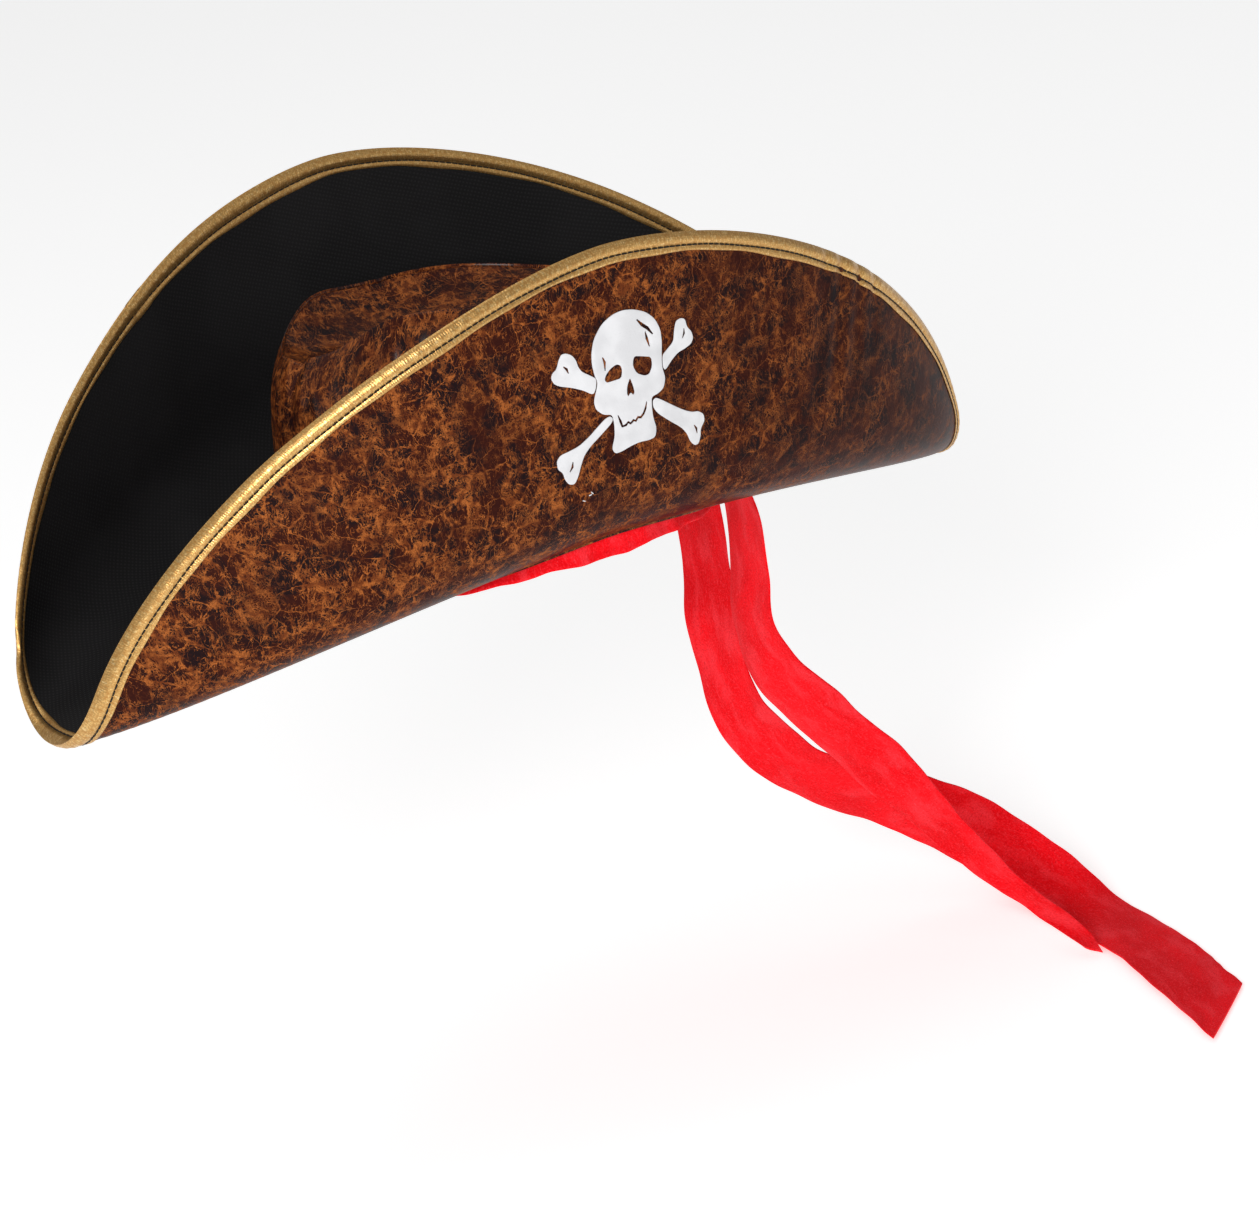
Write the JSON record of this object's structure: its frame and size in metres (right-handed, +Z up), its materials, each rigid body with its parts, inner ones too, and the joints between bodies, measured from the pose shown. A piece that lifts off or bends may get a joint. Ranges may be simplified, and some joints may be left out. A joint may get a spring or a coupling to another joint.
{
  "type": "pirate hat",
  "caption": "Two-flap pirate hat with a soft crown, gold edge binding, a cut-out skull badge and a velour headband whose tails swing.",
  "frame": {"origin": "centre of the head opening, level with the flat middle of the brim's underside", "axes": "+Z up through the crown, -Y towards the front flap with the badge, +X towards the wearer's left, where the tails hang"},
  "size_m": [0.489, 0.3172, 0.4002],
  "materials": {
    "leatherette": "distressed brown leatherette with orange-brown cracks, half gloss",
    "stiffener_foam": "stiff needle-felt interlining",
    "black_nonwoven": "black spun-bonded cloth with a fine embossed grid",
    "gold_lame": "gold metallic binding tape, fine ribs, crinkled shine",
    "black_thread": "black polyester sewing thread",
    "red_velour": "bright red velour with a short brushed pile",
    "red_thread": "red polyester sewing thread",
    "white_vinyl": "flat white heat-pressed vinyl",
    "white_thread": "white sewing thread"
  },
  "bodies": {
    "root": {"brim_shell": "leatherette", "brim_stiffener": "stiffener_foam", "brim_facing": "black_nonwoven", "edge_binding": "gold_lame", "binding_stitches": "black_thread", "crown_side_left": "leatherette", "crown_side_right": "leatherette", "crown_tip": "leatherette", "crown_seam_tape": "black_nonwoven", "sweatband": "black_nonwoven", "opening_stitches": "black_thread", "headband": "red_velour", "headband_hem_stitches": "red_thread", "tail_anchor": "red_velour", "badge_skull": "white_vinyl", "badge_bone_upper_left": "white_vinyl", "badge_bone_upper_right": "white_vinyl", "badge_bone_lower_left": "white_vinyl", "badge_bone_lower_right": "white_vinyl", "flap_tacks": "white_thread"},
    "front_tail": {"tail_front": "red_velour"},
    "rear_tail": {"tail_rear": "red_velour"}
  },
  "joints": [
    {"name": "front_tail_swing", "type": "hinge", "parent": "root", "child": "front_tail", "pos_m": [0.105, -0.02, -0.017], "axis": [0, -1, 0], "range_deg": [0, 45]},
    {"name": "rear_tail_swing", "type": "hinge", "parent": "root", "child": "rear_tail", "pos_m": [0.105, 0.019, -0.017], "axis": [0, -1, 0], "range_deg": [0, 45]}
  ]
}
